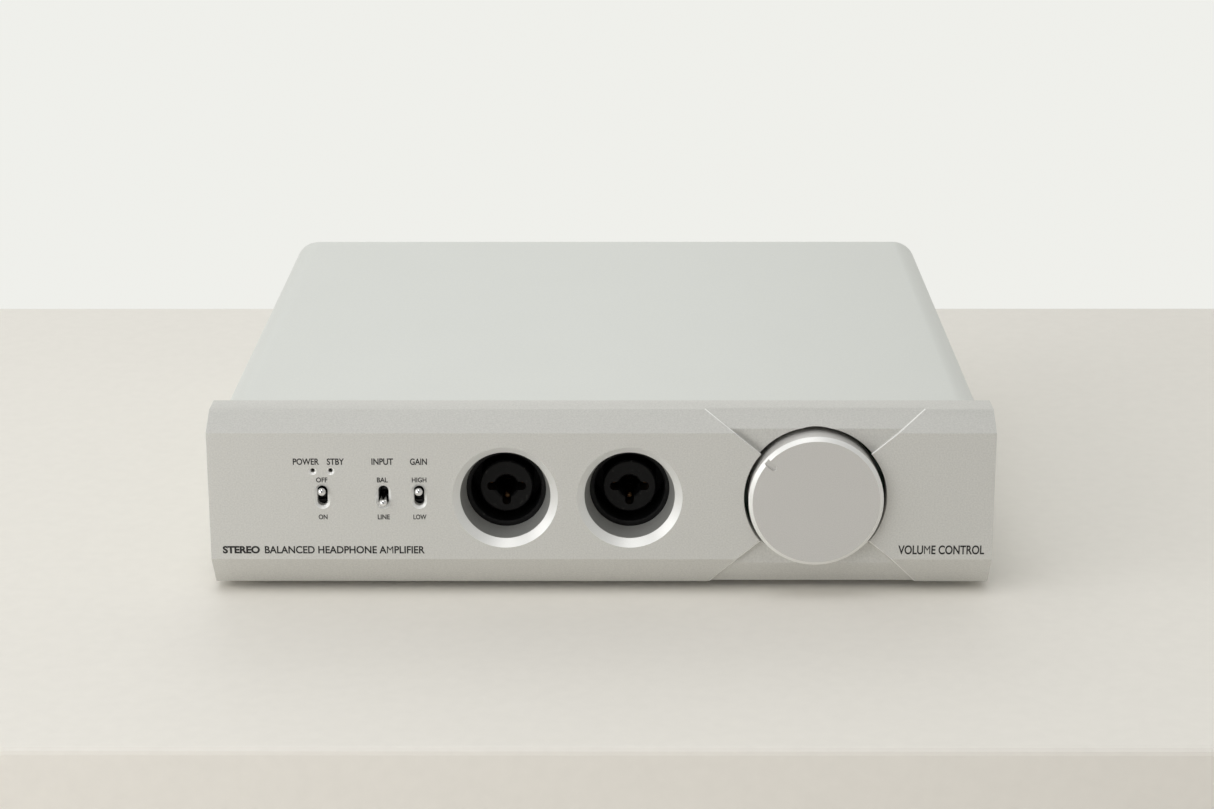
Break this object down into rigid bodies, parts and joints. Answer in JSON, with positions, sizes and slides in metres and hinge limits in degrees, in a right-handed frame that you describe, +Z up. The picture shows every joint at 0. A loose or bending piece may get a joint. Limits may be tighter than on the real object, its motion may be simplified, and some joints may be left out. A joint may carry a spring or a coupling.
{
  "type": "headphone amplifier",
  "caption": "Half-width headphone amplifier in a flat metal case: thick bevelled front panel with a large volume knob, toggle switches and recessed combination headphone sockets.",
  "frame": {"origin": "under the middle of the whole unit, on the surface that the feet stand on", "axes": "+X to the right as the user sees the front panel, +Y towards the back, +Z up; the front faces -Y"},
  "size_m": [0.22, 0.2204, 0.053],
  "materials": {
    "bead_blasted_aluminium": "bead-blasted and clear anodised",
    "case_paint": "pale grey satin powder coat",
    "turned_aluminium": "fine bead-blasted with a bright cut bevel",
    "plated_steel": "zinc plated",
    "sink_aluminium": "black anodised",
    "chrome": "polished",
    "nickel": "bright nickel plate",
    "black_steel": "black oxide",
    "black_nylon": "fine moulded texture",
    "brass": "satin",
    "foot_rubber": "matt",
    "board_laminate": "solder mask",
    "lamp_lens": "smoked",
    "white_insulator": "moulded",
    "red_insulator": "moulded",
    "capacitor_sleeve": "shrink sleeve",
    "ribbon": "ribbed"
  },
  "bodies": {
    "chassis": {"balanced_screw_left_lower": "black_steel", "balanced_screw_left_upper": "black_steel", "balanced_screw_right_lower": "black_steel", "balanced_screw_right_upper": "black_steel", "balanced_socket_left": "black_nylon", "balanced_socket_right": "black_nylon", "base_tray": "plated_steel", "capacitor_left": "capacitor_sleeve", "capacitor_right": "capacitor_sleeve", "cover_screw_front_left": "black_steel", "cover_screw_front_right": "black_steel", "cover_screw_rear_left": "black_steel", "cover_screw_rear_right": "black_steel", "foot_front_left": "foot_rubber", "foot_front_right": "foot_rubber", "foot_rear_left": "foot_rubber", "foot_rear_right": "foot_rubber", "front_board": "board_laminate", "front_panel": "bead_blasted_aluminium", "front_panel_screw_left": "black_steel", "front_panel_screw_right": "black_steel", "gain_switch_body": "black_nylon", "headphone_contact_left": "brass", "headphone_contact_right": "brass", "headphone_socket_left": "black_nylon", "headphone_socket_right": "black_nylon", "heat_sink_left": "sink_aluminium", "heat_sink_right": "sink_aluminium", "input_switch_body": "black_nylon", "main_board": "board_laminate", "muting_relay": "black_nylon", "phono_insulator_input_left": "white_insulator", "phono_insulator_input_right": "red_insulator", "phono_insulator_output_left": "white_insulator", "phono_insulator_output_right": "red_insulator", "phono_shell_input_left": "nickel", "phono_shell_input_right": "nickel", "phono_shell_output_left": "nickel", "phono_shell_output_right": "nickel", "potentiometer": "black_nylon", "potentiometer_nut": "nickel", "power_inlet": "black_nylon", "power_lamp": "lamp_lens", "power_switch_body": "black_nylon", "rear_panel": "case_paint", "rear_panel_screw_left": "black_steel", "rear_panel_screw_right": "black_steel", "ribbon_cable": "ribbon", "standby_lamp": "lamp_lens", "top_cover": "case_paint"},
    "volume_control": {"volume_knob": "turned_aluminium", "knob_grub_screw": "plated_steel", "volume_shaft": "plated_steel"},
    "power_toggle": {"power_lever": "chrome"},
    "input_toggle": {"input_lever": "chrome"},
    "gain_toggle": {"gain_lever": "chrome"},
    "left_latch": {"balanced_latch_left": "nickel"},
    "right_latch": {"balanced_latch_right": "nickel"}
  },
  "joints": [
    {"name": "volume_turn", "type": "hinge", "parent": "chassis", "child": "volume_control", "pos_m": [0.06, -0.1063, 0.0296], "axis": [0, 1, 0], "range_deg": [-100, 200]},
    {"name": "power_lever_tilt", "type": "hinge", "parent": "chassis", "child": "power_toggle", "pos_m": [-0.0781, -0.0998, 0.03], "axis": [1, 0, 0], "range_deg": [0, 25]},
    {"name": "input_lever_tilt", "type": "hinge", "parent": "chassis", "child": "input_toggle", "pos_m": [-0.061, -0.0998, 0.03], "axis": [1, 0, 0], "range_deg": [-25, 0]},
    {"name": "gain_lever_tilt", "type": "hinge", "parent": "chassis", "child": "gain_toggle", "pos_m": [-0.051, -0.0998, 0.03], "axis": [1, 0, 0], "range_deg": [0, 25]},
    {"name": "left_latch_push", "type": "slide", "parent": "chassis", "child": "left_latch", "axis": [0, -1, 0], "range_m": [0, 0.0012], "stiffness_N_per_m": 400, "springref_m": -0.0005},
    {"name": "right_latch_push", "type": "slide", "parent": "chassis", "child": "right_latch", "axis": [0, -1, 0], "range_m": [0, 0.0012], "stiffness_N_per_m": 400, "springref_m": -0.0005}
  ]
}
